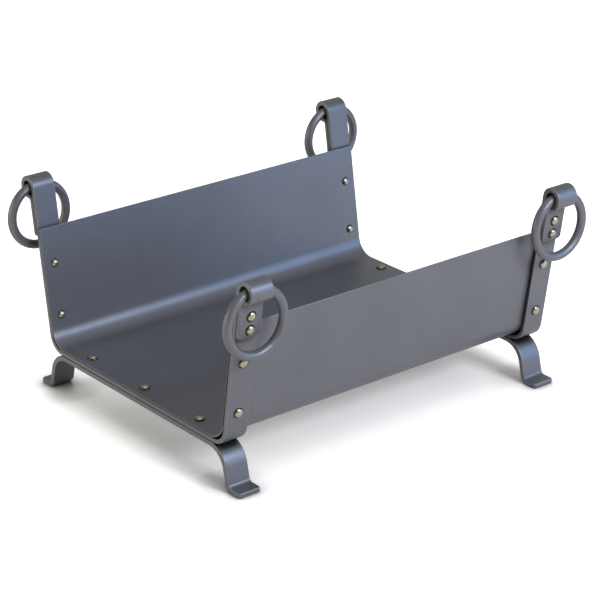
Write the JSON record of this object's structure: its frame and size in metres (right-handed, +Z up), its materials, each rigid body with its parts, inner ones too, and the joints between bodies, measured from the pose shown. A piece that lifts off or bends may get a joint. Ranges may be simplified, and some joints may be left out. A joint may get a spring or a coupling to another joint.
{
  "type": "log holder",
  "caption": "Low open-ended fireside log tray of grey painted steel on flat-bar hoops and feet, with loose ring handles in rolled eyes and pale brass rivets.",
  "frame": {"origin": "on the ground, under the middle of the tray", "axes": "+X along the tray towards its right open end, +Y across it towards the rear wall, +Z up"},
  "size_m": [0.5696, 0.472, 0.2779],
  "materials": {
    "grey_steel": "satin pewter grey paint",
    "rivet_metal": "pale, lightly polished"
  },
  "bodies": {
    "frame": {"tray": "grey_steel", "left_hoop": "grey_steel", "left_foot_bar": "grey_steel", "right_hoop": "grey_steel", "right_foot_bar": "grey_steel", "left_floor_rivet_front": "rivet_metal", "left_floor_rivet_middle": "rivet_metal", "left_floor_rivet_rear": "rivet_metal", "front_left_wall_rivet_lower": "rivet_metal", "front_left_wall_rivet_upper": "rivet_metal", "front_left_tail_rivet_lower": "rivet_metal", "front_left_tail_rivet_upper": "rivet_metal", "rear_left_wall_rivet_lower": "rivet_metal", "rear_left_wall_rivet_upper": "rivet_metal", "rear_left_tail_rivet_lower": "rivet_metal", "rear_left_tail_rivet_upper": "rivet_metal", "right_floor_rivet_front": "rivet_metal", "right_floor_rivet_middle": "rivet_metal", "right_floor_rivet_rear": "rivet_metal", "front_right_wall_rivet_lower": "rivet_metal", "front_right_wall_rivet_upper": "rivet_metal", "front_right_tail_rivet_lower": "rivet_metal", "front_right_tail_rivet_upper": "rivet_metal", "rear_right_wall_rivet_lower": "rivet_metal", "rear_right_wall_rivet_upper": "rivet_metal", "rear_right_tail_rivet_lower": "rivet_metal", "rear_right_tail_rivet_upper": "rivet_metal"},
    "front_left_ring": {"front_left_ring": "grey_steel"},
    "rear_left_ring": {"rear_left_ring": "grey_steel"},
    "front_right_ring": {"front_right_ring": "grey_steel"},
    "rear_right_ring": {"rear_right_ring": "grey_steel"}
  },
  "joints": [
    {"name": "front_left_ring_swing", "type": "hinge", "parent": "frame", "child": "front_left_ring", "pos_m": [-0.239, -0.2215, 0.2634], "axis": [-1, 0, 0], "range_deg": [-10, 327]},
    {"name": "rear_left_ring_swing", "type": "hinge", "parent": "frame", "child": "rear_left_ring", "pos_m": [-0.239, 0.2215, 0.2634], "axis": [1, 0, 0], "range_deg": [-10, 327]},
    {"name": "front_right_ring_swing", "type": "hinge", "parent": "frame", "child": "front_right_ring", "pos_m": [0.239, -0.2215, 0.2634], "axis": [-1, 0, 0], "range_deg": [-10, 327]},
    {"name": "rear_right_ring_swing", "type": "hinge", "parent": "frame", "child": "rear_right_ring", "pos_m": [0.239, 0.2215, 0.2634], "axis": [1, 0, 0], "range_deg": [-10, 327]}
  ]
}
